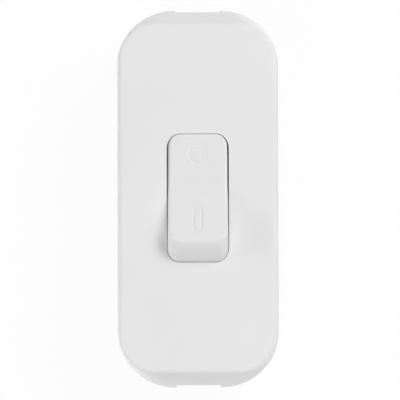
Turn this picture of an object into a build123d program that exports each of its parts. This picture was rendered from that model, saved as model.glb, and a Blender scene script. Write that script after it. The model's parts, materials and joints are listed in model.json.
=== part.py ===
from build123d import *
from math import cos, radians, sin, tan
import os

os.makedirs("parts", exist_ok=True)

# In-line rocker switch for a flexible cord, lying on its back, in millimetres.
# X runs across the case, Y along it towards the off end of the rocker, Z up out of the face.
# The origin is at the middle of the back.

# Case: two lofted shells that meet at a joint
case_length = 76.0
case_width = 32.4
case_corner = 11.6
base_height = 9.5
cover_height = 12.5
face_end_inset = 3.9
face_side_inset = 0.7
face_corner = 7.0
face_edge = 1.0
back_end_inset = 2.6
back_side_inset = 1.2
back_corner = 8.8
back_edge = 1.2
wall = 2.0
floor = 2.0
face_wall = 2.0
form_sections = 4
joint_groove = 0.25
tongue_height = 1.2
tongue_width = 0.9
tongue_clearance = 0.1

# Cord entries: a flat land on each end, with a hole halved by the joint
land_width = 9.0
land_depth = 0.8
cord_hole_radius = 3.7
collar_side = 2.3
collar_length = 3.0
collar_rim = 1.4

# Rocker: a section of a drum about its pivot, with drafted sides and a shallow V for its face
pivot_depth = 7.6
rocker_radius = 14.6
rocker_width = 12.4
rocker_draft = 2.3
rocker_side_gap = 0.07
rocker_end_gap = 0.14
rocker_corner = 2.4
rocker_throw = 24.0
rocker_side_wall = 1.3
rocker_end_wall = 1.6
rocker_face_wall = 1.8
rocker_foot = 1.5
rocker_edge = 0.8
valley_radius = 8.0
crest_reach = 10.35
crest_turn = 30.0
crest_radius = 3.0
ear_radius = 2.9
web_thickness = 1.4
trunnion_radius = 1.5
trunnion_end_gap = 0.25
trunnion_clearance = 0.05
cheek_gap = 0.25
cheek_thickness = 1.9
cheek_length = 7.0
cheek_clearance = 0.15
post_length = 5.0

# Plungers and springs, in the two barrels of the rocker
barrel_radius = 2.1
barrel_margin = 0.5
barrel_drop = 4.5
plunger_radius = 1.35
plunger_clearance = 0.1
plunger_shoulder = 2.0
plunger_nose_gap = 0.1
spigot_radius = 0.65
spigot_height = 1.6
spring_seat = 4.0
spring_wire_radius = 0.2
spring_radius = 1.1
spring_turns = 5
spring_end_clearance = 0.05

# Contact bridges, which rock in the ears of the common terminals
bridge_thickness = 0.8
bridge_margin = 0.1
bridge_free_arm = 4.6
lug_radius = 0.6
lug_clearance = 0.05
contact_arm = 6.6
contact_radius = 1.5
contact_head = 0.85
contact_shank_radius = 0.8
contact_gap = 0.07
rivet_clearance = 0.03

# Terminals: strips on the floor that end in pillars with a wire hole and a screw
strip_thickness = 0.8
strip_margin = 0.6
strip_ear_gap = 0.2
strip_ear_thickness = 0.7
strip_ear_length = 3.2
strip_ear_rise = 1.2
stop_width = 2.4
stop_length = 1.2
stop_clearance = 0.12
pillar_width = 6.0
pillar_length = 6.0
pillar_height = 6.5
pillar_rocker_gap = 2.4
pillar_barrier_gap = 1.6
wire_hole_radius = 1.6
wire_hole_rise = 0.4
terminal_screw_radius = 1.5
terminal_head_radius = 2.3
terminal_head_height = 1.8
terminal_screw_lift = 0.3
terminal_screw_bite = 0.8

# Barrier and terminal bays on the floor
barrier_thickness = 0.8
barrier_height = 5.5
barrier_gap = 0.3
bay_rib_thickness = 1.0
bay_rib_height = 4.0
bay_clearance = 0.15

# Cord clamps: saddles on two bosses, over a cradle
clamp_width = 4.8
clamp_collar_gap = 0.6
clamp_ear_thickness = 2.2
clamp_arch_clearance = 0.5
clamp_arch_thickness = 1.3
clamp_head_gap = 0.15
clamp_boss_height = 6.0
cradle_side = 0.5
cradle_thickness = 1.6
cradle_clearance = 0.2
clamp_screw_radius = 1.3
clamp_head_radius = 2.1
clamp_head_height = 1.6
clamp_screw_depth = 4.5

# Case screws, set in from the back at opposite corners
case_screw_from_side = 4.8
case_screw_y = 12.0
case_post_radius = 3.4
case_screw_radius = 1.45
case_screw_length = 13.0
case_head_radius = 2.7
case_head_height = 1.9
case_head_sink = 0.6
case_head_clearance = 0.2

# All screws
screw_clearance = 0.05
screw_tip_room = 0.5
slot_width = 0.7
slot_depth = 0.8

# Values worked out from those above
face_z = base_height + cover_height
inner_face_z = face_z - face_wall
pivot_z = face_z - pivot_depth
lean = radians(rocker_throw / 2)
draft = tan(radians(rocker_draft))
side_play = rocker_side_gap + rocker_radius * sin(lean) * draft
land_y = case_length / 2 - land_depth
collar_y = land_y - collar_length
collar_width = 2 * (cord_hole_radius + collar_side)
pole_x = rocker_width / 2 - barrel_margin - barrel_radius
ear_reach = pole_x - barrier_thickness / 2 - barrier_gap
bridge_width = 2 * (ear_reach - strip_ear_thickness - strip_ear_gap)
bridge_contact_arm = contact_arm + contact_radius + bridge_margin
cheek_x = pole_x + ear_reach + cheek_gap + cheek_thickness / 2
trunnion_length = cheek_x + cheek_thickness / 2 - trunnion_end_gap - rocker_width / 2
strip_top = floor + strip_thickness
pillar_x = barrier_thickness / 2 + pillar_barrier_gap + pillar_width / 2
pillar_y = rocker_radius + pillar_rocker_gap + pillar_length / 2
pillar_top = floor + pillar_height
wire_z = strip_top + wire_hole_rise + wire_hole_radius
bridge_z = strip_top + 2 * contact_head + contact_gap + bridge_thickness / 2
nose_drop = pivot_z - bridge_z - (bridge_thickness / 2 + plunger_radius + plunger_nose_gap) / cos(lean)
clamp_y = collar_y - clamp_collar_gap - clamp_width / 2
clamp_arch_radius = cord_hole_radius + clamp_arch_clearance
clamp_screw_x = clamp_arch_radius + clamp_arch_thickness + clamp_head_gap + clamp_head_radius
clamp_seat = floor + clamp_boss_height
clamp_top = clamp_seat + clamp_ear_thickness
case_screw_x = case_width / 2 - case_screw_from_side
case_seat = case_head_sink + case_head_height
case_tip = case_seat + case_screw_length
post_top = pivot_z - trunnion_radius - trunnion_clearance
case_screw_spots = [(case_screw_x, -case_screw_y), (-case_screw_x, case_screw_y)]
clamp_spots = [(x * clamp_screw_x, y * clamp_y) for x in (-1, 1) for y in (-1, 1)]
pillar_spots = [(x * pillar_x, y * pillar_y) for x in (-1, 1) for y in (-1, 1)]
poles = {"left": -1, "right": 1}

# Planes across the case, and the rocker's own planes: at rest it leans down at its off end
joint_plane = Plane.XY.offset(base_height)
floor_plane = Plane.XY.offset(floor)
rocker_up = (0, sin(lean), cos(lean))
rocker_along = (0, cos(lean), -sin(lean))
rocker_top = Plane(origin=(0, 0, pivot_z), x_dir=(1, 0, 0), z_dir=rocker_up)
rocker_side = Plane(origin=(0, 0, pivot_z), x_dir=rocker_along, z_dir=(1, 0, 0))
rocker_front = Plane(origin=(0, 0, pivot_z), x_dir=(1, 0, 0), z_dir=(0, -cos(lean), sin(lean)))
opening_front = Plane(origin=(0, 0, pivot_z), x_dir=(1, 0, 0), z_dir=(0, -1, 0))


def bridge_side(x):
    """Side plane of a contact bridge, which leans against the rocker's lean."""
    return Plane(origin=(x, 0, bridge_z), x_dir=(0, cos(lean), sin(lean)), z_dir=(1, 0, 0))


def bridge_contact(x):
    """Plane of a bridge's contact arm at its rivet, facing up."""
    along, up = cos(2 * lean), sin(2 * lean)
    spot = (x, contact_arm * along, bridge_z + contact_arm * up)
    return Plane(origin=spot, x_dir=(1, 0, 0), z_dir=(0, -up, along))


def end_plane(end, y):
    """Upright plane across the case at the joint's height, facing outwards."""
    return Plane(origin=(0, end * y, base_height), x_dir=(1, 0, 0), z_dir=(0, end, 0))


def case_form(height, reach, end_inset, side_inset, far_corner, skin=0.0, mode=Mode.ADD):
    """Loft the case's form away from the joint, as far as reach and inside a skin."""
    sections = []
    for step in range(form_sections):
        rise = reach * step / (form_sections - 1)
        drawn_in = (rise / height) ** 2
        width = case_width - 2 * (side_inset * drawn_in + skin)
        length = case_length - 2 * (end_inset * drawn_in + skin)
        corner = case_corner + (far_corner - case_corner) * drawn_in - skin
        with BuildSketch(joint_plane.offset(rise)) as section:
            RectangleRounded(width, length, corner)
        sections.append(section.sketch)
    loft(sections, mode=mode)


def cover_form(reach, skin=0.0, mode=Mode.ADD):
    """Form of the case above the joint."""
    case_form(cover_height, reach, face_end_inset, face_side_inset, face_corner, skin, mode)


def base_form(reach, skin=0.0, mode=Mode.ADD):
    """Form of the case below the joint."""
    case_form(base_height, -reach, back_end_inset, back_side_inset, back_corner, skin, mode)


def keep_collars(height):
    """Leave the cord entries' collars out of the hollow being built."""
    with BuildSketch(joint_plane) as blocks:
        with Locations((0, collar_y + collar_length), (0, -collar_y - collar_length)):
            Rectangle(collar_width, 2 * collar_length)
    extrude(blocks.sketch, amount=height, mode=Mode.SUBTRACT)


def rim(inner_skin, outer_skin, collar_gap):
    """Ring along the joint between two skins, broken at the cord entries."""
    with BuildSketch(joint_plane) as ring:
        for skin, mode in ((outer_skin, Mode.ADD), (inner_skin, Mode.SUBTRACT)):
            RectangleRounded(case_width - 2 * skin, case_length - 2 * skin, case_corner - skin, mode=mode)
        Rectangle(collar_width + 2 * collar_gap, case_length, mode=Mode.SUBTRACT)
    return ring.sketch


def cord_entries():
    """Cut the end lands, and the cord holes through their collars."""
    for end in (-1, 1):
        with BuildSketch(end_plane(end, land_y)) as land:
            Rectangle(land_width, 2 * face_z)
        extrude(land.sketch, amount=2 * land_depth, mode=Mode.SUBTRACT)
        with BuildSketch(end_plane(end, collar_y)) as hole:
            Circle(cord_hole_radius)
        extrude(hole.sketch, amount=collar_length + land_depth, mode=Mode.SUBTRACT)


def columns(spots, radius, low, high, mode=Mode.ADD):
    """Round columns, or holes, from one height to another."""
    with BuildSketch(Plane.XY.offset(low)) as rounds:
        with Locations(*spots):
            Circle(radius)
    extrude(rounds.sketch, amount=high - low, mode=mode)


def screws(spots, radius, tip, seat, head_radius, head_top, slot_side):
    """Slotted cheese-head screws, with slot_side 1 for heads at the top and -1 at the bottom."""
    columns(spots, radius, min(tip, seat), max(tip, seat))
    columns(spots, head_radius, min(seat, head_top), max(seat, head_top))
    with BuildSketch(Plane.XY.offset(head_top)) as slots:
        with Locations(*spots):
            Rectangle(2 * head_radius, slot_width)
    extrude(slots.sketch, amount=-slot_side * slot_depth, mode=Mode.SUBTRACT)


def drum(front, radius, width, corner):
    """Drum about the rocker's pivot, as wide as given at the pivot, with drafted sides and rounded rims."""
    with BuildPart() as shape:
        with BuildSketch(front):
            Trapezoid(width + 4 * radius * draft, 4 * radius, 90 - rocker_draft)
        extrude(amount=2 * radius, both=True)
        with BuildSketch(rocker_side):
            Circle(radius)
        extrude(amount=width, both=True, mode=Mode.INTERSECT)
        fillet(shape.edges().filter_by(GeomType.ELLIPSE), corner)
    return shape.part


def rocker_section(face_depth, foot):
    """Side view between the V of the face, rounded at its valley and crests, and a flat foot."""
    reach = rocker_radius + rocker_corner
    valley = face_depth / cos(lean)
    crest = valley + crest_reach * tan(lean)
    shoulder = crest + (reach - crest_reach) * tan(lean - radians(crest_turn))
    with BuildSketch(rocker_side) as section:
        with BuildLine():
            Polyline((0, valley), (crest_reach, crest), (reach, shoulder), (reach, foot), (0, foot))
            mirror(about=Plane.YZ)
        make_face()
        fillet(section.vertices().group_by(Axis.Y)[-1], crest_radius)
        fillet(section.vertices().sort_by_distance((0, valley))[0], valley_radius)
    return section.sketch


def terminal_pillar(x, y):
    """Pillar with a wire hole along the case and a screw hole from above."""
    with BuildSketch(floor_plane) as block:
        with Locations((x, y)):
            Rectangle(pillar_width, pillar_length)
    extrude(block.sketch, amount=pillar_height)
    with BuildSketch(Plane(origin=(x, y, wire_z), x_dir=(1, 0, 0), z_dir=(0, 1, 0))) as wire_hole:
        Circle(wire_hole_radius)
    extrude(wire_hole.sketch, amount=pillar_length / 2, both=True, mode=Mode.SUBTRACT)
    columns([(x, y)], terminal_screw_radius + screw_clearance, wire_z, pillar_top, Mode.SUBTRACT)


def floor_strip(x, y_from, y_to, width):
    """Strip of a terminal along the floor."""
    with BuildSketch(floor_plane) as strip:
        with Locations((x, (y_from + y_to) / 2)):
            Rectangle(width, abs(y_to - y_from))
    extrude(strip.sketch, amount=strip_thickness)


# Cover: upper shell with the face, the rocker's opening and the cheeks that its trunnions turn in
with BuildPart() as cover_hollow:
    cover_form(cover_height - face_wall, wall)
    keep_collars(cord_hole_radius + collar_rim)

rocker_opening = drum(opening_front, rocker_radius + rocker_end_gap, rocker_width + 2 * side_play,
                      rocker_corner + rocker_end_gap)

with BuildPart() as cover:
    cover_form(cover_height)
    fillet(cover.faces().sort_by(Axis.Z)[-1].edges(), face_edge)
    add(cover_hollow.part, mode=Mode.SUBTRACT)
    columns(case_screw_spots, case_post_radius, base_height, inner_face_z)
    with BuildSketch(Plane.XY.offset(post_top + cheek_clearance)):
        with Locations((cheek_x, 0), (-cheek_x, 0)):
            Rectangle(cheek_thickness, cheek_length)
    extrude(amount=inner_face_z - post_top - cheek_clearance)
    with BuildSketch(Plane.YZ):
        with Locations((0, pivot_z)):
            Circle(trunnion_radius + trunnion_clearance)
            Rectangle(2 * (trunnion_radius + trunnion_clearance), pivot_z, align=(Align.CENTER, Align.MAX))
    extrude(amount=cheek_x + cheek_thickness, both=True, mode=Mode.SUBTRACT)
    groove = rim(wall + tongue_clearance, wall - tongue_width - tongue_clearance, 0)
    extrude(groove, amount=tongue_height + tongue_clearance, mode=Mode.SUBTRACT)
    cord_entries()
    columns(case_screw_spots, case_screw_radius + screw_clearance, base_height, case_tip + screw_tip_room,
            Mode.SUBTRACT)
    add(rocker_opening, mode=Mode.SUBTRACT)
cover.part.label = "cover"
export_step(cover.part, "parts/cover.step")

# Base: lower shell with the floor, the terminal bays, the bearing posts and the screw posts
with BuildPart() as base_hollow:
    base_form(base_height - floor, wall)
    keep_collars(-cord_hole_radius - collar_rim)

with BuildPart() as base:
    base_form(base_height)
    fillet(base.faces().sort_by(Axis.Z)[0].edges(), back_edge)
    with BuildSketch(joint_plane):
        RectangleRounded(case_width + wall, case_length + wall, case_corner + wall / 2)
        RectangleRounded(case_width - 2 * joint_groove, case_length - 2 * joint_groove,
                         case_corner - joint_groove, mode=Mode.SUBTRACT)
    extrude(amount=-joint_groove, mode=Mode.SUBTRACT)
    add(base_hollow.part, mode=Mode.SUBTRACT)
    extrude(rim(wall, wall - tongue_width, tongue_clearance), amount=tongue_height)
    columns(case_screw_spots, case_post_radius, floor, base_height)
    columns(clamp_spots, clamp_width / 2, floor, clamp_seat)
    with BuildSketch(floor_plane):
        with Locations((cheek_x, 0), (-cheek_x, 0)):
            Rectangle(cheek_thickness, post_length)
    extrude(amount=post_top - floor)
    with BuildSketch(floor_plane):
        Rectangle(barrier_thickness, 2 * pillar_y + pillar_length)
    extrude(amount=barrier_height)
    rib_x = pillar_width / 2 + bay_clearance + bay_rib_thickness / 2
    with BuildSketch(floor_plane):
        for x, y in pillar_spots:
            with Locations((x + rib_x if x > 0 else x - rib_x, y)):
                Rectangle(bay_rib_thickness, pillar_length)
    extrude(amount=bay_rib_height)
    with BuildSketch(floor_plane):
        with Locations((0, clamp_y), (0, -clamp_y)):
            Rectangle(2 * (clamp_arch_radius + cradle_side), cradle_thickness)
    extrude(amount=clamp_boss_height - cradle_clearance)
    for end in (-1, 1):
        with BuildSketch(end_plane(end, clamp_y)):
            Circle(clamp_arch_radius)
        extrude(amount=cradle_thickness, both=True, mode=Mode.SUBTRACT)
    cord_entries()
    columns(clamp_spots, clamp_screw_radius + screw_clearance,
            clamp_seat - clamp_screw_depth - screw_tip_room, clamp_seat, Mode.SUBTRACT)
    columns(case_screw_spots, case_head_radius + case_head_clearance, 0, case_seat, Mode.SUBTRACT)
    columns(case_screw_spots, case_screw_radius + screw_clearance, case_seat, base_height, Mode.SUBTRACT)
base.part.label = "base"
export_step(base.part, "parts/base.step")

with BuildPart() as case_screws:
    screws(case_screw_spots, case_screw_radius, case_tip, case_seat, case_head_radius, case_head_sink, -1)
case_screws.part.label = "case_screws"
export_step(case_screws.part, "parts/case_screws.step")

# Rocker: hollow shell with a web, ears and trunnions at the pivot and two barrels for the springs
rocker_blank = drum(rocker_front, rocker_radius, rocker_width, rocker_corner)
hollow_corner = max(rocker_corner - rocker_side_wall, rocker_end_gap)
hollow_drum = drum(rocker_front, rocker_radius - rocker_end_wall, rocker_width - 2 * rocker_side_wall,
                   hollow_corner)

with BuildPart() as rocker_hollow:
    add(hollow_drum)
    extrude(rocker_section(pivot_depth - rocker_face_wall, -rocker_radius), amount=rocker_width, both=True,
            mode=Mode.INTERSECT)

with BuildPart() as rocker:
    add(rocker_blank)
    extrude(rocker_section(pivot_depth, rocker_foot), amount=rocker_width, both=True, mode=Mode.INTERSECT)
    up = Vector(rocker_up)
    face_lines = rocker.faces().filter_by(lambda part: part.normal_at().dot(up) > cos(2 * lean)).edges()
    fillet([line for line in face_lines if face_lines.count(line) == 1], rocker_edge)
    add(rocker_hollow.part, mode=Mode.SUBTRACT)
    barrel_top = pivot_depth - rocker_face_wall / 2
    with BuildSketch(rocker_side):
        with Locations((0, -trunnion_radius)):
            Rectangle(web_thickness, barrel_top + trunnion_radius, align=(Align.CENTER, Align.MIN))
    extrude(amount=rocker_width / 2 - rocker_side_wall / 2, both=True)
    for side in poles.values():
        with BuildSketch(rocker_side.offset(side * rocker_width / 2)):
            Circle(ear_radius)
        extrude(amount=-side * rocker_side_wall)
        with BuildSketch(rocker_side.offset(side * rocker_width / 2)):
            Circle(trunnion_radius)
        extrude(amount=side * trunnion_length)
    with BuildSketch(rocker_top.offset(-barrel_drop)):
        with Locations((pole_x, 0), (-pole_x, 0)):
            Circle(barrel_radius)
    extrude(amount=barrel_drop + barrel_top)
    with BuildSketch(rocker_top.offset(-barrel_drop)):
        with Locations((pole_x, 0), (-pole_x, 0)):
            Circle(plunger_radius + plunger_clearance)
    extrude(amount=barrel_drop + spring_seat, mode=Mode.SUBTRACT)
rocker.part.label = "rocker"
export_step(rocker.part, "parts/rocker.step")

# One set of contact pieces for each pole
for name, side in poles.items():
    x = side * pole_x
    barrel_axis = Axis((x, 0, pivot_z), rocker_up)
    barrel_section = Plane(origin=(x, 0, pivot_z), x_dir=(1, 0, 0), z_dir=(0, -cos(lean), sin(lean)))

    with BuildPart() as plunger:
        with BuildSketch(barrel_section):
            with BuildLine():
                nose = CenterArc((0, -nose_drop), plunger_radius, -90, 90)
                Polyline(
                    nose @ 1,
                    (plunger_radius, -plunger_shoulder),
                    (spigot_radius, -plunger_shoulder),
                    (spigot_radius, spigot_height - plunger_shoulder),
                    (0, spigot_height - plunger_shoulder),
                    nose @ 0,
                )
            make_face()
        revolve(axis=barrel_axis)
    plunger.part.label = f"plunger_{name}"
    export_step(plunger.part, f"parts/plunger_{name}.step")

    with BuildPart() as plunger_spring:
        end_room = spring_wire_radius + spring_end_clearance
        coil_height = spring_seat + plunger_shoulder - 2 * end_room
        with BuildLine() as coil:
            Helix(
                pitch=coil_height / spring_turns,
                height=coil_height,
                radius=spring_radius,
                center=rocker_top.from_local_coords((x, 0, end_room - plunger_shoulder)),
                direction=rocker_up,
            )
        with BuildSketch(Plane(coil.line ^ 0)):
            Circle(spring_wire_radius)
        sweep(is_frenet=True)
    plunger_spring.part.label = f"plunger_spring_{name}"
    export_step(plunger_spring.part, f"parts/plunger_spring_{name}.step")

    with BuildPart() as bridge:
        with BuildSketch(bridge_side(x)):
            Rectangle(bridge_contact_arm, bridge_thickness, rotation=rocker_throw / 2,
                      align=(Align.MIN, Align.CENTER))
            Rectangle(bridge_free_arm, bridge_thickness, rotation=-rocker_throw / 2,
                      align=(Align.MAX, Align.CENTER))
            Circle(bridge_thickness / 2)
        extrude(amount=bridge_width / 2, both=True)
        for edge in (-1, 1):
            with BuildSketch(bridge_side(x + edge * bridge_width / 2)):
                Circle(lug_radius)
            extrude(amount=edge * (ear_reach - bridge_width / 2))
        with BuildSketch(bridge_contact(x)):
            Circle(contact_shank_radius + rivet_clearance)
        extrude(amount=bridge_thickness, both=True, mode=Mode.SUBTRACT)
    bridge.part.label = f"bridge_{name}"
    export_step(bridge.part, f"parts/bridge_{name}.step")

    with BuildPart() as moving_contact:
        with BuildSketch(bridge_contact(x).offset(-bridge_thickness / 2)):
            Circle(contact_radius)
        extrude(amount=-contact_head)
        with BuildSketch(bridge_contact(x).offset(-bridge_thickness / 2)):
            Circle(contact_shank_radius)
        extrude(amount=bridge_thickness)
    moving_contact.part.label = f"moving_contact_{name}"
    export_step(moving_contact.part, f"parts/moving_contact_{name}.step")

    with BuildPart() as fixed_contact:
        columns([(x, contact_arm)], contact_radius, strip_top, strip_top + contact_head)
        columns([(x, contact_arm)], contact_shank_radius, floor, strip_top)
    fixed_contact.part.label = f"fixed_contact_{name}"
    export_step(fixed_contact.part, f"parts/fixed_contact_{name}.step")

    with BuildPart() as contact_terminal:
        floor_strip(x, contact_arm - contact_radius - strip_margin, pillar_y, bridge_width)
        terminal_pillar(side * pillar_x, pillar_y)
        columns([(x, contact_arm)], contact_shank_radius + rivet_clearance, floor, strip_top, Mode.SUBTRACT)
    contact_terminal.part.label = f"contact_terminal_{name}"
    export_step(contact_terminal.part, f"parts/contact_terminal_{name}.step")

    with BuildPart() as common_terminal:
        floor_strip(x, strip_ear_length / 2, -pillar_y, 2 * ear_reach)
        ear_x = ear_reach - strip_ear_thickness / 2
        with BuildSketch(floor_plane):
            with Locations((x - ear_x, 0), (x + ear_x, 0)):
                Rectangle(strip_ear_thickness, strip_ear_length)
        extrude(amount=bridge_z + strip_ear_rise - floor)
        with BuildSketch(Plane.YZ.offset(x)):
            with Locations((0, bridge_z)):
                Circle(lug_radius + lug_clearance)
                Rectangle(2 * (lug_radius + lug_clearance), 2 * strip_ear_rise,
                          align=(Align.CENTER, Align.MIN))
        extrude(amount=2 * ear_reach, both=True, mode=Mode.SUBTRACT)
        with BuildSketch(floor_plane):
            with Locations((x, stop_length - bridge_free_arm)):
                Rectangle(stop_width, stop_length)
        extrude(amount=bridge_z - bridge_thickness / 2 - stop_clearance - floor)
        terminal_pillar(side * pillar_x, -pillar_y)
    common_terminal.part.label = f"common_terminal_{name}"
    export_step(common_terminal.part, f"parts/common_terminal_{name}.step")

with BuildPart() as terminal_screws:
    screws(pillar_spots, terminal_screw_radius, wire_z + wire_hole_radius - terminal_screw_bite,
           pillar_top + terminal_screw_lift, terminal_head_radius,
           pillar_top + terminal_screw_lift + terminal_head_height, 1)
terminal_screws.part.label = "terminal_screws"
export_step(terminal_screws.part, "parts/terminal_screws.step")

# Cord clamps, one inside each cord entry
for name, end in {"inlet": -1, "outlet": 1}.items():
    with BuildPart() as cord_clamp:
        with BuildSketch(Plane.XZ.offset(-end * clamp_y)):
            with Locations((0, base_height)):
                Circle(clamp_arch_radius + clamp_arch_thickness)
            with Locations((0, clamp_seat)):
                Rectangle(2 * clamp_screw_x + clamp_width, clamp_ear_thickness,
                          align=(Align.CENTER, Align.MIN))
                Rectangle(2 * clamp_screw_x, clamp_seat, align=(Align.CENTER, Align.MAX),
                          mode=Mode.SUBTRACT)
            with Locations((0, base_height)):
                Circle(clamp_arch_radius, mode=Mode.SUBTRACT)
        extrude(amount=clamp_width / 2, both=True)
        with BuildSketch(Plane.XY.offset(clamp_seat)):
            with Locations((0, end * clamp_y)):
                SlotCenterToCenter(2 * clamp_screw_x, clamp_width)
        extrude(amount=face_z, mode=Mode.INTERSECT)
        columns([(clamp_screw_x, end * clamp_y), (-clamp_screw_x, end * clamp_y)],
                clamp_screw_radius + screw_clearance, clamp_seat, clamp_top, Mode.SUBTRACT)
    cord_clamp.part.label = f"cord_clamp_{name}"
    export_step(cord_clamp.part, f"parts/cord_clamp_{name}.step")

with BuildPart() as clamp_screws:
    screws(clamp_spots, clamp_screw_radius, clamp_seat - clamp_screw_depth, clamp_top, clamp_head_radius,
           clamp_top + clamp_head_height, 1)
clamp_screws.part.label = "clamp_screws"
export_step(clamp_screws.part, "parts/clamp_screws.step")
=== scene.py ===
import json
import math

import bmesh
import bpy
from mathutils import Matrix, Vector


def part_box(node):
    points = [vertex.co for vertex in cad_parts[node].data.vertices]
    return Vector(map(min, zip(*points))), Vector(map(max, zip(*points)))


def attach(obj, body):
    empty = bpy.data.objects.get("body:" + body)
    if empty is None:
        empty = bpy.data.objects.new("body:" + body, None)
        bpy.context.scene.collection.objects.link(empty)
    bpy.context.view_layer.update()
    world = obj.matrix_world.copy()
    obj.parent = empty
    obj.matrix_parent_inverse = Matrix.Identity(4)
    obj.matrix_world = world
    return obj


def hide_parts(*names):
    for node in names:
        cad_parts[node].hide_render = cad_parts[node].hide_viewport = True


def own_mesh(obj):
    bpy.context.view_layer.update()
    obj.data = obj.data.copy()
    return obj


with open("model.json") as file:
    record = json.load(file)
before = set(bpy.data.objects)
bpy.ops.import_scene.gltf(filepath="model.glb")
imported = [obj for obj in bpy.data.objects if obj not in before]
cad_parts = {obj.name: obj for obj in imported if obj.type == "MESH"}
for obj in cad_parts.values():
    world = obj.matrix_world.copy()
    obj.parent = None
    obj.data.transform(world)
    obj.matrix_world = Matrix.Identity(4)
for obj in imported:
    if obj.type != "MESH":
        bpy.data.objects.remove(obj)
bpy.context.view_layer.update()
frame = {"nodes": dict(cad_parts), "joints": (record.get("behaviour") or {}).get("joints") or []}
nodes = frame["nodes"]
joints = {joint["name"]: joint for joint in frame["joints"]}
scene = bpy.context.scene
mm = 0.001
weldReach = 0.002 * mm  # the CAD triangles share corners within this distance


# Small helpers for node trees, meshes and placing

def link(tree, fromSocket, toSocket):
    tree.links.new(fromSocket, toSocket)


def give(tree, source, socket):
    # a socket takes another node's output, or a fixed number or vector
    if isinstance(source, bpy.types.NodeSocket):
        link(tree, source, socket)
    else:
        socket.default_value = source


def addNode(tree, kind, **settings):
    node = tree.nodes.new(kind)
    for name, value in settings.items():
        setattr(node, name, value)
    return node


def newPiece(name, data):
    piece = bpy.data.objects.new(name, data)
    scene.collection.objects.link(piece)
    return piece


def evaluatedMesh(piece):
    return bpy.data.meshes.new_from_object(piece.evaluated_get(bpy.context.evaluated_depsgraph_get()))


def freeze(piece):
    # the evaluated shape becomes the piece's own plain mesh, with the modifiers taken off
    mesh = evaluatedMesh(piece)
    piece.modifiers.clear()
    piece.data = mesh


def weldedCopy(nodeName):
    # the CAD mesh is loose triangles, so a copy of it is merged before use
    shape = bmesh.new()
    shape.from_mesh(nodes[nodeName].data)
    bmesh.ops.remove_doubles(shape, verts=shape.verts, dist=weldReach)
    return shape


def paint(piece, material):
    piece.data.materials.clear()
    piece.data.materials.append(material)


def turnTo(xAxis, zAxis, origin):
    # placing matrix from a piece's own X and Z directions
    x, z = Vector(xAxis).normalized(), Vector(zAxis).normalized()
    place = Matrix((x, z.cross(x), z)).transposed().to_4x4()
    place.translation = origin
    return place


# Finishes

noiseLow, noiseHigh = 0.3, 0.7  # most of a noise texture lies between these


def startMaterial(name):
    material = bpy.data.materials.new(name)
    material.use_nodes = True
    tree = material.node_tree
    shader = tree.nodes["Principled BSDF"]
    place = addNode(tree, "ShaderNodeTexCoord")
    return material, tree, shader, place.outputs["Object"]


def grain(tree, place, scale, detail=2.0, stretch=None):
    # noise on the piece's own coordinates, drawn out along an axis where stretch says so
    noise = addNode(tree, "ShaderNodeTexNoise")
    noise.inputs["Scale"].default_value = scale
    noise.inputs["Detail"].default_value = detail
    if stretch:
        turn = addNode(tree, "ShaderNodeMapping")
        turn.inputs["Scale"].default_value = stretch
        link(tree, place, turn.inputs["Vector"])
        place = turn.outputs["Vector"]
    link(tree, place, noise.inputs["Vector"])
    return noise.outputs["Fac"]


def spread(tree, fac, low, high, target):
    # the noise is opened out between two values
    span = addNode(tree, "ShaderNodeMapRange")
    for name, value in (("From Min", noiseLow), ("From Max", noiseHigh), ("To Min", low), ("To Max", high)):
        span.inputs[name].default_value = value
    link(tree, fac, span.inputs["Value"])
    link(tree, span.outputs["Result"], target)


def tint(tree, fac, dark, pale, target):
    ramp = addNode(tree, "ShaderNodeValToRGB")
    for stop, position, shade in zip(ramp.color_ramp.elements, (noiseLow, noiseHigh), (dark, pale)):
        stop.position = position
        stop.color = (*shade, 1)
    link(tree, fac, ramp.inputs["Fac"])
    link(tree, ramp.outputs["Color"], target)


def relief(tree, shader, height, strength, depth):
    bump = addNode(tree, "ShaderNodeBump")
    bump.inputs["Strength"].default_value = strength
    bump.inputs["Distance"].default_value = depth
    link(tree, height, bump.inputs["Height"])
    link(tree, bump.outputs["Normal"], shader.inputs["Normal"])


def mouldedPlastic(name, settings):
    material, tree, shader, place = startMaterial(name)
    tint(tree, grain(tree, place, settings["cloudScale"]), settings["dark"], settings["pale"],
         shader.inputs["Base Color"])
    spread(tree, grain(tree, place, settings["flowScale"]), settings["smooth"], settings["rough"],
           shader.inputs["Roughness"])
    relief(tree, shader, grain(tree, place, settings["sparkScale"]), settings["sparkStrength"],
           settings["sparkDepth"])
    shader.inputs["IOR"].default_value = settings["ior"]
    shader.inputs["Specular IOR Level"].default_value = settings["gloss"]
    return material


def metalFinish(name, settings):
    material, tree, shader, place = startMaterial(name)
    tint(tree, grain(tree, place, settings["cloudScale"], 3.0), settings["dark"], settings["pale"],
         shader.inputs["Base Color"])
    marks = grain(tree, place, settings["markScale"], 4.0, settings["markStretch"])
    spread(tree, marks, settings["smooth"], settings["rough"], shader.inputs["Roughness"])
    relief(tree, shader, marks, settings["markStrength"], settings["markDepth"])
    shader.inputs["Metallic"].default_value = 1.0
    return material


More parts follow.
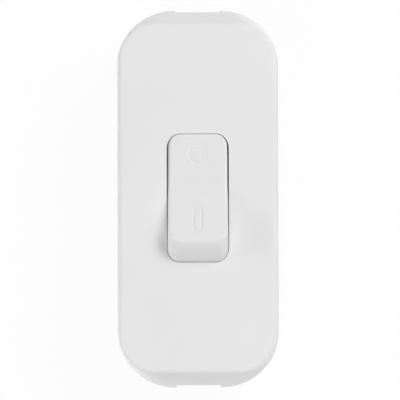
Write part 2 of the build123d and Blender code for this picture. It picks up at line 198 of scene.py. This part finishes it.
plasticLooks = {
    "caseWhite": {
        "dark": (0.777, 0.777, 0.775), "pale": (0.805, 0.805, 0.803), "cloudScale": 45.0,
        "smooth": 0.40, "rough": 0.50, "flowScale": 160.0,
        "sparkScale": 3200.0, "sparkStrength": 0.10, "sparkDepth": 0.00003, "gloss": 0.45, "ior": 1.5,
    },
    "rockerWhite": {
        "dark": (0.775, 0.775, 0.773), "pale": (0.80, 0.80, 0.797), "cloudScale": 60.0,
        "smooth": 0.30, "rough": 0.40, "flowScale": 220.0,
        "sparkScale": 4200.0, "sparkStrength": 0.06, "sparkDepth": 0.00002, "gloss": 0.5, "ior": 1.5,
    },
    "gripGrey": {
        "dark": (0.66, 0.66, 0.64), "pale": (0.72, 0.72, 0.70), "cloudScale": 90.0,
        "smooth": 0.45, "rough": 0.6, "flowScale": 300.0,
        "sparkScale": 2600.0, "sparkStrength": 0.2, "sparkDepth": 0.00004, "gloss": 0.4, "ior": 1.5,
    },
}
metalLooks = {
    "zincSteel": {
        "dark": (0.55, 0.56, 0.57), "pale": (0.68, 0.68, 0.67), "cloudScale": 700.0,
        "smooth": 0.26, "rough": 0.42, "markScale": 1500.0, "markStretch": (1.0, 1.0, 6.0),
        "markStrength": 0.15, "markDepth": 0.00002,
    },
    "springSteel": {
        "dark": (0.46, 0.46, 0.47), "pale": (0.60, 0.60, 0.60), "cloudScale": 900.0,
        "smooth": 0.2, "rough": 0.34, "markScale": 2400.0, "markStretch": (1.0, 1.0, 1.0),
        "markStrength": 0.1, "markDepth": 0.00001,
    },
    "stampedBrass": {
        "dark": (0.70, 0.52, 0.22), "pale": (0.84, 0.67, 0.33), "cloudScale": 320.0,
        "smooth": 0.24, "rough": 0.42, "markScale": 900.0, "markStretch": (8.0, 1.0, 1.0),
        "markStrength": 0.2, "markDepth": 0.00002,
    },
    "contactSilver": {
        "dark": (0.78, 0.77, 0.75), "pale": (0.90, 0.89, 0.87), "cloudScale": 1200.0,
        "smooth": 0.16, "rough": 0.34, "markScale": 2200.0, "markStretch": (1.0, 1.0, 1.0),
        "markStrength": 0.12, "markDepth": 0.00001,
    },
}
finishes = {name: mouldedPlastic(name, look) for name, look in plasticLooks.items()}
finishes.update({name: metalFinish(name, look) for name, look in metalLooks.items()})

nodeFinish = {
    "cover": "caseWhite", "base": "caseWhite",
    "plunger_left": "gripGrey", "plunger_right": "gripGrey",
    "cord_clamp_inlet": "gripGrey", "cord_clamp_outlet": "gripGrey",
    "bridge_left": "stampedBrass", "bridge_right": "stampedBrass",
    "contact_terminal_left": "stampedBrass", "contact_terminal_right": "stampedBrass",
    "common_terminal_left": "stampedBrass", "common_terminal_right": "stampedBrass",
    "moving_contact_left": "contactSilver", "moving_contact_right": "contactSilver",
    "fixed_contact_left": "contactSilver", "fixed_contact_right": "contactSilver",
}
for name, finish in nodeFinish.items():
    paint(nodes[name], finishes[finish])
print("finishes:", len(finishes))


# Rocker: the moulded shell with a ring and a bar sunk into the two halves of its face

rockerMarks = {
    "ringFromValley": 7.0 * mm, "ringRadius": 1.79 * mm,
    "barFromValley": 6.35 * mm, "barLength": 5.0 * mm, "barWidth": 1.6 * mm,
    "grooveRadius": 0.45 * mm, "grooveLift": 0.33 * mm, "grooveRounds": 10, "arcSteps": 24,
    "crease": math.radians(30), "flatWeight": 100,
}

# the face is a shallow V: at rest its off half lies level, and its on half stands up by the throw
tilt = joints["rocker_tilt"]
pivot = Vector(tilt["pos_m"])
throw = math.radians(tilt["range_deg"][1])
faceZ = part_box("cover")[1].z
valley = Vector((0, (faceZ - pivot.z) * math.tan(throw / 2), faceZ))
offAlong, offUp = Vector((0, 1, 0)), Vector((0, 0, 1))
onAlong = Vector((0, -math.cos(throw), math.sin(throw)))
onUp = Vector((0, math.sin(throw), math.cos(throw)))


def grooveTool(name, outline, place):
    # closed tube along a flat outline, which cuts a round-bottomed groove
    curve = bpy.data.curves.new(name, "CURVE")
    curve.dimensions = "3D"
    curve.bevel_depth = rockerMarks["grooveRadius"]
    curve.bevel_resolution = rockerMarks["grooveRounds"]
    line = curve.splines.new("POLY")
    line.points.add(len(outline) - 1)
    for point, (x, y) in zip(line.points, outline):
        point.co = (x, y, 0, 1)
    line.use_cyclic_u = True
    tool = newPiece(name, curve)
    mesh = evaluatedMesh(tool)
    mesh.transform(place)
    for face in mesh.polygons:
        face.material_index = 1
    bpy.data.objects.remove(tool)
    return newPiece(name, mesh)


def creaseMarks(mesh):
    # the cut faces carry index 1, and meet the moulded face in a crisp line
    shape = bmesh.new()
    shape.from_mesh(mesh)
    for edge in shape.edges:
        if len({face.material_index for face in edge.link_faces}) > 1:
            edge.smooth = False
    for face in shape.faces:
        face.material_index = 0
    shape.to_mesh(mesh)
    shape.free()


def roundOutline(radius, halfStraight):
    # circle, or a bar with round ends where halfStraight is more than nothing
    steps = rockerMarks["arcSteps"]
    points = []
    for side in (1, -1):
        for step in range(steps + 1):
            turn = math.pi * step / steps + (0 if side > 0 else math.pi)
            points.append((radius * math.cos(turn), radius * math.sin(turn) + side * halfStraight))
    if halfStraight == 0:
        points = [point for i, point in enumerate(points) if i not in (steps, 2 * steps + 1)]
    return points


def buildRocker():
    shape = weldedCopy("rocker")
    mesh = bpy.data.meshes.new("rockerShell")
    shape.to_mesh(mesh)
    shape.free()
    piece = newPiece("rockerShell", mesh)
    lift = rockerMarks["grooveLift"]
    ringSpot = valley + offAlong * rockerMarks["ringFromValley"] + offUp * lift
    barSpot = valley + onAlong * rockerMarks["barFromValley"] + onUp * lift
    barRadius = rockerMarks["barWidth"] / 2
    straight = rockerMarks["barLength"] / 2 - barRadius
    tools = [
        grooveTool("ringTool", roundOutline(rockerMarks["ringRadius"], 0),
                   turnTo((1, 0, 0), offUp, ringSpot)),
        grooveTool("barTool", roundOutline(barRadius, straight), turnTo((1, 0, 0), onUp, barSpot)),
    ]
    for tool in tools:
        cut = piece.modifiers.new(tool.name, "BOOLEAN")
        cut.operation = "DIFFERENCE"
        cut.solver = "EXACT"
        cut.object = tool
    freeze(piece)
    for tool in tools:
        bpy.data.objects.remove(tool)
    piece.data.shade_smooth()
    piece.data.set_sharp_from_angle(angle=rockerMarks["crease"])
    creaseMarks(piece.data)
    normals = piece.modifiers.new("evenNormals", "WEIGHTED_NORMAL")
    normals.keep_sharp = True
    normals.weight = rockerMarks["flatWeight"]
    freeze(piece)
    paint(piece, finishes["rockerWhite"])
    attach(piece, "rocker")
    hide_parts("rocker")
    return piece


rockerShell = buildRocker()
print("rocker:", len(rockerShell.data.polygons), "faces")


# Geometry Nodes: a tree with named inputs, and a piece grown from it

def newTree(name, inputs):
    tree = bpy.data.node_groups.new(name, "GeometryNodeTree")
    tree.interface.new_socket("Geometry", in_out="OUTPUT", socket_type="NodeSocketGeometry")
    tree.interface.new_socket("Geometry", in_out="INPUT", socket_type="NodeSocketGeometry")
    for label, kind in inputs.items():
        tree.interface.new_socket(label, in_out="INPUT", socket_type="NodeSocket" + kind)
    return tree, addNode(tree, "NodeGroupInput").outputs, addNode(tree, "NodeGroupOutput").inputs


def feed(tree, node, **sources):
    # inputs by their label, with _ for a space
    for label, source in sources.items():
        give(tree, source, node.inputs[label.replace("_", " ")])
    return node.outputs[0]


def reckon(tree, operation, first, second):
    node = addNode(tree, "ShaderNodeMath", operation=operation)
    for socket, source in zip(node.inputs, (first, second)):
        give(tree, source, socket)
    return node.outputs[0]


def vector(tree, x=0.0, y=0.0, z=0.0):
    return feed(tree, addNode(tree, "ShaderNodeCombineXYZ"), X=x, Y=y, Z=z)


def moved(tree, geometry, **place):
    return feed(tree, addNode(tree, "GeometryNodeTransform"), Geometry=geometry, **place)


def welded(tree, *solids):
    # one closed skin round solids that touch or overlap
    node = addNode(tree, "GeometryNodeMeshBoolean", operation="UNION", solver="EXACT")
    for solid in solids:
        link(tree, solid, node.inputs["Mesh 2"])
    return node.outputs["Mesh"]


def finished(tree, geometry, given, result):
    # the export drops instances, so they are made real before the finish goes on
    whole = feed(tree, addNode(tree, "GeometryNodeRealizeInstances"), Geometry=geometry)
    coated = feed(tree, addNode(tree, "GeometryNodeSetMaterial"), Geometry=whole, Material=given["finish"])
    link(tree, coated, result["Geometry"])
    return tree


turnedCrease = math.radians(35)


def grow(name, tree, seedPoints, values):
    mesh = bpy.data.meshes.new(name)
    mesh.from_pydata(seedPoints, [], [])
    piece = newPiece(name, mesh)
    modifier = piece.modifiers.new(tree.name, "NODES")
    modifier.node_group = tree
    for socket in tree.interface.items_tree:
        if socket.in_out == "INPUT" and socket.name in values:
            modifier[socket.identifier] = values[socket.name]
    freeze(piece)
    piece.data.shade_smooth()
    piece.data.set_sharp_from_angle(angle=turnedCrease)
    return piece


def solidBoxes(nodeName):
    # lowest and highest corner of each separate solid in a CAD node
    shape = weldedCopy(nodeName)
    left = set(shape.verts)
    boxes = []
    while left:
        front = [left.pop()]
        found = []
        while front:
            vert = front.pop()
            found.append(vert.co.copy())
            for edge in vert.link_edges:
                other = edge.other_vert(vert)
                if other in left:
                    left.remove(other)
                    front.append(other)
        boxes.append((Vector(map(min, zip(*found))), Vector(map(max, zip(*found)))))
    shape.free()
    return sorted(boxes, key=lambda box: tuple(box[0]))


# Screws: slotted cheese heads on threaded shanks, seated where the CAD screws are

screwSets = {
    "caseScrews": {
        "node": "case_screws", "headAtTop": False, "headHeight": 1.9 * mm, "shankRadius": 1.45 * mm,
        "slotWidth": 0.7 * mm, "slotDepth": 0.8 * mm, "pitch": 1.0 * mm, "threadDepth": 0.32 * mm,
        "tip": 1.6 * mm, "edge": 0.25 * mm, "seed": 4, "finish": "zincSteel",
    },
    "terminalScrews": {
        "node": "terminal_screws", "headAtTop": True, "headHeight": 1.8 * mm, "shankRadius": 1.5 * mm,
        "slotWidth": 0.7 * mm, "slotDepth": 0.8 * mm, "pitch": 0.5 * mm, "threadDepth": 0.2 * mm,
        "tip": 0.4 * mm, "edge": 0.25 * mm, "seed": 7, "finish": "zincSteel",
    },
    "clampScrews": {
        "node": "clamp_screws", "headAtTop": True, "headHeight": 1.6 * mm, "shankRadius": 1.3 * mm,
        "slotWidth": 0.7 * mm, "slotDepth": 0.8 * mm, "pitch": 0.9 * mm, "threadDepth": 0.28 * mm,
        "tip": 1.2 * mm, "edge": 0.25 * mm, "seed": 2, "finish": "zincSteel",
    },
}
screwMesh = {"headSides": 48, "shankSides": 32, "threadSteps": 24, "ridgeSides": 4, "pointShare": 0.35}


def screwTree():
    sizes = ("headRadius", "headHeight", "shankRadius", "shankLength", "slotWidth", "slotDepth", "pitch",
             "threadDepth", "tip", "edge")
    tree, given, result = newTree("slottedScrew", {
        **{size: "Float" for size in sizes}, "headTurn": "Vector", "seed": "Int", "finish": "Material",
    })
    core = reckon(tree, "SUBTRACT", given["shankRadius"], given["threadDepth"])
    straight = reckon(tree, "SUBTRACT", given["shankLength"], given["tip"])
    barrelHeight = reckon(tree, "SUBTRACT", given["headHeight"], given["edge"])
    crownRadius = reckon(tree, "SUBTRACT", given["headRadius"], given["edge"])

    barrel = feed(tree, addNode(tree, "GeometryNodeMeshCylinder"), Vertices=screwMesh["headSides"],
                  Radius=given["headRadius"], Depth=barrelHeight)
    barrel = moved(tree, barrel, Translation=vector(tree, z=reckon(tree, "MULTIPLY", barrelHeight, 0.5)))
    crown = feed(tree, addNode(tree, "GeometryNodeMeshCone"), Vertices=screwMesh["headSides"],
                 Radius_Top=crownRadius, Radius_Bottom=given["headRadius"], Depth=given["edge"])
    crown = moved(tree, crown, Translation=vector(tree, z=barrelHeight))
    slot = feed(tree, addNode(tree, "GeometryNodeMeshCube"), Size=vector(
        tree, reckon(tree, "MULTIPLY", given["headRadius"], 3.0), given["slotWidth"],
        reckon(tree, "MULTIPLY", given["slotDepth"], 2.0)))
    slot = moved(tree, slot, Translation=vector(tree, z=given["headHeight"]))
    slotted = addNode(tree, "GeometryNodeMeshBoolean", operation="DIFFERENCE", solver="EXACT")
    link(tree, welded(tree, barrel, crown), slotted.inputs["Mesh 1"])
    link(tree, slot, slotted.inputs["Mesh 2"])

    shank = feed(tree, addNode(tree, "GeometryNodeMeshCylinder"), Vertices=screwMesh["shankSides"],
                 Radius=core, Depth=straight)
    shank = moved(tree, shank, Translation=vector(tree, z=reckon(tree, "MULTIPLY", straight, -0.5)))
    point = feed(tree, addNode(tree, "GeometryNodeMeshCone"), Vertices=screwMesh["shankSides"],
                 Radius_Top=core, Depth=given["tip"],
                 Radius_Bottom=reckon(tree, "MULTIPLY", core, screwMesh["pointShare"]))
    tipDrop = reckon(tree, "MULTIPLY", given["shankLength"], -1.0)
    point = moved(tree, point, Translation=vector(tree, z=tipDrop))
    path = feed(tree, addNode(tree, "GeometryNodeCurveSpiral"), Resolution=screwMesh["threadSteps"],
                Rotations=reckon(tree, "DIVIDE", straight, given["pitch"]), Start_Radius=core,
                End_Radius=core, Height=straight)
    ridge = feed(tree, addNode(tree, "GeometryNodeCurvePrimitiveCircle"), Radius=given["threadDepth"],
                 Resolution=screwMesh["ridgeSides"])
    thread = feed(tree, addNode(tree, "GeometryNodeCurveToMesh"), Curve=path, Profile_Curve=ridge,
                  Fill_Caps=True)
    thread = moved(tree, thread, Translation=vector(tree, z=reckon(tree, "MULTIPLY", straight, -1.0)))

    screw = welded(tree, slotted.outputs["Mesh"], shank, point, thread)
    # each screw was driven home to a turn of its own
    turn = addNode(tree, "FunctionNodeRandomValue", data_type="FLOAT")
    feed(tree, turn, Seed=given["seed"])
    floats = [socket for socket in turn.inputs if socket.type == "VALUE"]
    floats[0].default_value, floats[1].default_value = 0.0, math.pi
    spin = next(socket for socket in turn.outputs if socket.type == "VALUE")
    screw = moved(tree, screw, Rotation=given["headTurn"])
    placed = feed(tree, addNode(tree, "GeometryNodeInstanceOnPoints"), Points=given["Geometry"],
                  Instance=screw, Rotation=vector(tree, z=spin))
    return finished(tree, placed, given, result)


def buildScrews():
    tree = screwTree()
    for name, settings in screwSets.items():
        boxes = solidBoxes(settings["node"])
        low, high = boxes[0]
        if settings["headAtTop"]:
            seat = high.z - settings["headHeight"]
            length = seat - low.z
        else:
            seat = low.z + settings["headHeight"]
            length = high.z - seat
        seats = [((a.x + b.x) / 2, (a.y + b.y) / 2, seat) for a, b in boxes]
        values = {key: value for key, value in settings.items() if key not in ("node", "headAtTop")}
        values.update({
            "headRadius": (high.x - low.x) / 2, "shankLength": length,
            "headTurn": (0.0 if settings["headAtTop"] else math.pi, 0.0, 0.0),
            "finish": finishes[settings["finish"]],
        })
        screws = grow(name, tree, seats, values)
        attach(screws, "housing")
        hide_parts(settings["node"])
        print("screws:", name, len(seats), "set,", len(screws.data.polygons), "faces")


buildScrews()


# Plunger springs: round wire with closed ends, between the barrel's seat and the plunger's shoulder

springLook = {"wireRadius": 0.2 * mm, "turns": 7.0, "closedTurns": 1.0, "steps": 28, "sides": 10}


def springTree():
    tree, given, result = newTree("plungerSpring", {
        "coilRadius": "Float", "wireRadius": "Float", "height": "Float", "turns": "Float",
        "closedTurns": "Float", "steps": "Int", "sides": "Int", "turnTo": "Vector", "foot": "Vector",
        "finish": "Material",
    })
    path = feed(tree, addNode(tree, "GeometryNodeCurveSpiral"), Resolution=given["steps"],
                Rotations=given["turns"], Start_Radius=given["coilRadius"], End_Radius=given["coilRadius"],
                Height=given["height"])
    along = addNode(tree, "GeometryNodeSplineParameter").outputs["Factor"]
    closedShare = reckon(tree, "DIVIDE", given["closedTurns"], given["turns"])
    wireWidth = reckon(tree, "MULTIPLY", given["wireRadius"], 2.0)
    closedRise = reckon(tree, "MULTIPLY", wireWidth, given["closedTurns"])
    closedSlope = reckon(tree, "DIVIDE", closedRise, closedShare)
    lowEnd = reckon(tree, "MULTIPLY", along, closedSlope)
    fromTop = reckon(tree, "MULTIPLY", reckon(tree, "SUBTRACT", 1.0, along), closedSlope)
    highEnd = reckon(tree, "SUBTRACT", given["height"], fromTop)
    middle = addNode(tree, "ShaderNodeMapRange", clamp=False)
    feed(tree, middle, Value=along, From_Min=closedShare, To_Min=closedRise,
         From_Max=reckon(tree, "SUBTRACT", 1.0, closedShare),
         To_Max=reckon(tree, "SUBTRACT", given["height"], closedRise))
    rise = reckon(tree, "MINIMUM", reckon(tree, "MAXIMUM", lowEnd, middle.outputs["Result"]), highEnd)
    spot = addNode(tree, "ShaderNodeSeparateXYZ")
    link(tree, addNode(tree, "GeometryNodeInputPosition").outputs["Position"], spot.inputs["Vector"])
    coil = feed(tree, addNode(tree, "GeometryNodeSetPosition"), Geometry=path,
                Position=vector(tree, spot.outputs["X"], spot.outputs["Y"], rise))
    wire = feed(tree, addNode(tree, "GeometryNodeCurvePrimitiveCircle"), Resolution=given["sides"],
                Radius=given["wireRadius"])
    spring = feed(tree, addNode(tree, "GeometryNodeCurveToMesh"), Curve=coil, Profile_Curve=wire,
                  Fill_Caps=True)
    spring = moved(tree, spring, Translation=given["foot"], Rotation=given["turnTo"])
    return finished(tree, spring, given, result)


def buildSprings():
    tree = springTree()
    for side in ("left", "right"):
        node, slide = "plunger_spring_" + side, joints["plunger_" + side + "_slide"]
        axis = Vector(slide["axis"]).normalized()
        points = [vert.co for vert in nodes[node].data.vertices]
        low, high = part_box(node)
        middle = (low + high) / 2
        reach = [(point - middle).dot(axis) for point in points]
        length = max(reach) - min(reach)
        radius = max(((point - middle) - axis * (point - middle).dot(axis)).length for point in points)
        wireRadius = springLook["wireRadius"]
        values = {**springLook}
        values.update({
            "coilRadius": radius - wireRadius, "height": length - 2 * wireRadius,
            "turnTo": tuple(axis.to_track_quat("Z", "Y").to_euler()),
            "foot": tuple(middle + axis * (min(reach) + wireRadius)), "finish": finishes["springSteel"],
        })
        spring = grow("spring_" + side, tree, [], values)
        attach(spring, "rocker")
        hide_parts(node)
        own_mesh(spring)
        print("spring:", spring.name, len(spring.data.polygons), "faces")


buildSprings()


# Floor, light and camera

studio = {
    "floorSize": 4.0, "floorDrop": 0.02 * mm, "floorWhite": 0.86, "floorRough": 0.9,
    "backWhite": 1.0, "floorGlow": 0.94, "horizon": 0.1, "zenith": 0.0,
    "lampAim": (0.0, 0.0, 20 * mm),
    "lamps": {
        # degrees round from +X and up from the floor, metres away and across, watts, shown in gloss
        "keyLamp": (50, 45, 0.80, 0.45, 3.58, False),
        "sideLamp": (10, 43, 0.80, 0.45, 1.69, True),
        "backLamp": (95, 40, 0.80, 0.45, 0.47, True),
        "nearLamp": (225, 60, 0.35, 0.15, 0.21, False),
        "leftLamp": (180, 12, 0.80, 0.30, 2.51, False),
        "frontLamp": (265, 25, 0.80, 0.50, 2.31, False),
    },
}
view = {
    "aim": (0.42 * mm, -0.2 * mm, 9.5 * mm), "distance": 0.4, "lean": math.radians(1.0),
    "roll": math.radians(-0.18), "fieldWidth": 80.93 * mm, "sensor": 36.0,
    "nearest": 0.01,
}


def backgroundRay(tree):
    # 1 on rays that see the background straight on, in a gloss or through glass
    ray = addNode(tree, "ShaderNodeLightPath")
    seen = ray.outputs["Is Camera Ray"]
    for other in ("Is Glossy Ray", "Is Transmission Ray"):
        seen = reckon(tree, "MAXIMUM", seen, ray.outputs[other])
    return seen


def buildFloor():
    half, under = studio["floorSize"] / 2, -studio["floorDrop"]
    mesh = bpy.data.meshes.new("floor")
    corners = [(-half, -half, under), (half, -half, under), (half, half, under), (-half, half, under)]
    mesh.from_pydata(corners, [], [(0, 1, 2, 3)])
    floor = newPiece("floor", mesh)
    material = bpy.data.materials.new("paleFloor")
    material.use_nodes = True
    tree = material.node_tree
    shader = tree.nodes["Principled BSDF"]
    white = studio["floorWhite"]
    shader.inputs["Base Color"].default_value = (white, white, white, 1)
    shader.inputs["Roughness"].default_value = studio["floorRough"]
    glow = addNode(tree, "ShaderNodeEmission")
    glow.inputs["Strength"].default_value = studio["backWhite"]
    mix = addNode(tree, "ShaderNodeMixShader")
    link(tree, reckon(tree, "MULTIPLY", backgroundRay(tree), studio["floorGlow"]), mix.inputs["Fac"])
    link(tree, shader.outputs["BSDF"], mix.inputs[1])
    link(tree, glow.outputs["Emission"], mix.inputs[2])
    link(tree, mix.outputs["Shader"], tree.nodes["Material Output"].inputs["Surface"])
    paint(floor, material)


def buildLight():
    world = bpy.data.worlds.new("softRoom")
    scene.world = world
    world.use_nodes = True
    tree = world.node_tree
    back = tree.nodes["Background"]
    # the room's light comes from round the horizon and fades overhead
    sky = addNode(tree, "ShaderNodeSeparateXYZ")
    link(tree, addNode(tree, "ShaderNodeTexCoord").outputs["Generated"], sky.inputs["Vector"])
    height = addNode(tree, "ShaderNodeMapRange")
    height.inputs["To Min"].default_value = studio["horizon"]
    height.inputs["To Max"].default_value = studio["zenith"]
    link(tree, sky.outputs["Z"], height.inputs["Value"])
    shown = addNode(tree, "ShaderNodeMix", data_type="FLOAT")
    shown.inputs["B"].default_value = studio["backWhite"]
    link(tree, backgroundRay(tree), shown.inputs["Factor"])
    link(tree, height.outputs["Result"], shown.inputs["A"])
    back.inputs["Color"].default_value = (1, 1, 1, 1)
    link(tree, shown.outputs["Result"], back.inputs["Strength"])
    aim = Vector(studio["lampAim"])
    for name, (turn, rise, away, size, watts, glossy) in studio["lamps"].items():
        lamp = bpy.data.lights.new(name, "AREA")
        lamp.shape = "DISK"
        lamp.size = size
        lamp.energy = watts
        turn, rise = math.radians(turn), math.radians(rise)
        way = Vector((math.cos(turn) * math.cos(rise), math.sin(turn) * math.cos(rise), math.sin(rise)))
        lampObject = newPiece(name, lamp)
        lampObject.location = aim + way * away
        lampObject.rotation_euler = way.to_track_quat("Z", "Y").to_euler()
        lampObject.visible_camera = False
        lampObject.visible_glossy = glossy


def buildCamera():
    lens = bpy.data.cameras.new("photoCamera")
    lens.sensor_width = view["sensor"]
    lens.lens = view["sensor"] * view["distance"] / view["fieldWidth"]
    lens.clip_start = view["nearest"]
    camera = newPiece("photoCamera", lens)
    back = Vector((0, -math.sin(view["lean"]), math.cos(view["lean"])))
    right = Matrix.Rotation(view["roll"], 3, back) @ Vector((1, 0, 0))
    camera.matrix_world = turnTo(right, back, Vector(view["aim"]) + back * view["distance"])
    scene.camera = camera


buildFloor()
buildLight()
buildCamera()
scene.view_settings.view_transform = "Standard"
print("studio: floor,", len(studio["lamps"]), "lamps, camera")
